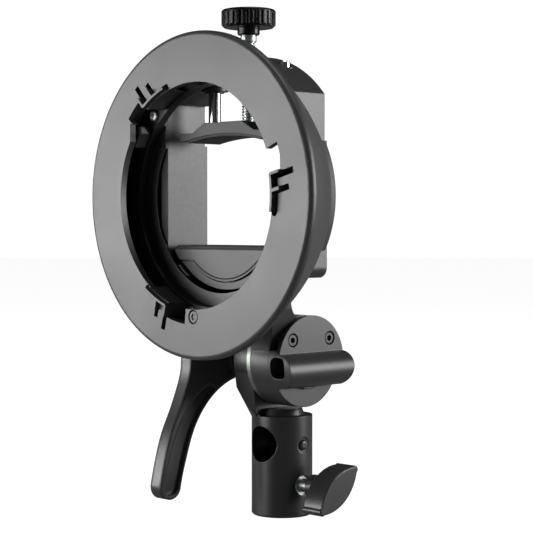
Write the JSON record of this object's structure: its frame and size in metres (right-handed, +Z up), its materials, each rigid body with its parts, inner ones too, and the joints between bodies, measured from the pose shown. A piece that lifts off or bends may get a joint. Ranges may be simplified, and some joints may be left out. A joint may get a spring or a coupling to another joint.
{
  "type": "umbrella swivel bracket",
  "caption": "Tilting stand bracket that clamps a flash head behind a bayonet ring, with an umbrella tube beside the tilt joint.",
  "frame": {"origin": "centre of the bayonet bore in the ring's front face", "axes": "-Y out of the ring, the way the light leaves; +Z up through the clamp knob; +X towards the umbrella tube and the stand screw"},
  "size_m": [0.1435, 0.0779, 0.2291],
  "materials": {
    "ring_black": "satin black enamel on a cast and turned ring",
    "screw_black": "black oxide",
    "screw_zinc": "bright zinc plate",
    "tab_plastic": "smooth moulding",
    "shell_plastic": "fine moulded grain",
    "inner_black": "matt black inside",
    "frame_plastic": "smooth satin moulding",
    "bush_black": "self-lubricating plastic",
    "seat_black": "satin moulding",
    "pad_rubber": "ribbed grip rubber",
    "rod_chrome": "polished",
    "knob_black": "semi-gloss moulding",
    "head_black": "satin black coat on a casting",
    "washer_silver": "turned face",
    "socket_black": "satin black coat",
    "lever_black": "satin moulding"
  },
  "bodies": {
    "socket": {"stand_socket": "socket_black", "stand_screw_bush": "screw_zinc", "socket_plug": "screw_black"},
    "head": {"head_inner_half": "head_black", "head_outer_half": "head_black", "head_cover_screws": "screw_black", "neck_screws": "screw_black", "friction_washer": "washer_silver", "tilt_bolt": "screw_zinc", "bayonet_ring": "ring_black", "ring_stop_screw": "screw_black", "spring_tabs": "tab_plastic", "bayonet_catch": "tab_plastic", "bowl_shell": "shell_plastic", "inner_plate": "inner_black", "inner_plate_screws": "screw_zinc", "frame_screws": "screw_black", "clamp_frame": "frame_plastic", "rod_bushes": "bush_black", "clamp_thread_insert": "screw_zinc", "lower_seat": "seat_black", "lower_seat_pad": "pad_rubber"},
    "jaw": {"upper_jaw": "seat_black", "upper_jaw_pad": "pad_rubber", "guide_rod_left": "rod_chrome", "guide_rod_right": "rod_chrome"},
    "screw": {"clamp_screw": "screw_zinc", "clamp_knob": "knob_black", "screw_retaining_clip": "screw_zinc"},
    "lever": {"tilt_lever": "lever_black", "lever_nut": "screw_black", "lever_cap": "lever_black"},
    "stand_screw": {"wing_knob": "knob_black", "wing_screw": "screw_zinc"}
  },
  "joints": [
    {"name": "head_tilt", "type": "hinge", "parent": "socket", "child": "head", "pos_m": [0, 0.0547, -0.0743], "axis": [1, 0, 0], "range_deg": [-90, 30]},
    {"name": "lever_turn", "type": "hinge", "parent": "socket", "child": "lever", "pos_m": [0, 0.0547, -0.0743], "axis": [1, 0, 0], "range_deg": [-10, 60]},
    {"name": "jaw_slide", "type": "slide", "parent": "head", "child": "jaw", "axis": [0, 0, 1], "range_m": [-0.004, 0.013]},
    {"name": "clamp_turn", "type": "hinge", "parent": "jaw", "child": "screw", "pos_m": [0, 0.0335, 0.03], "axis": [0, 0, 1], "range_deg": [-1140, 3690]},
    {"name": "wing_turn", "type": "hinge", "parent": "socket", "child": "stand_screw", "pos_m": [0.02, 0.0547, -0.1309], "axis": [1, 0, 0], "continuous": true}
  ],
  "couplings": [
    {"joint": "clamp_turn", "follows": "jaw_slide", "rad_per_m": 4947.4}
  ]
}
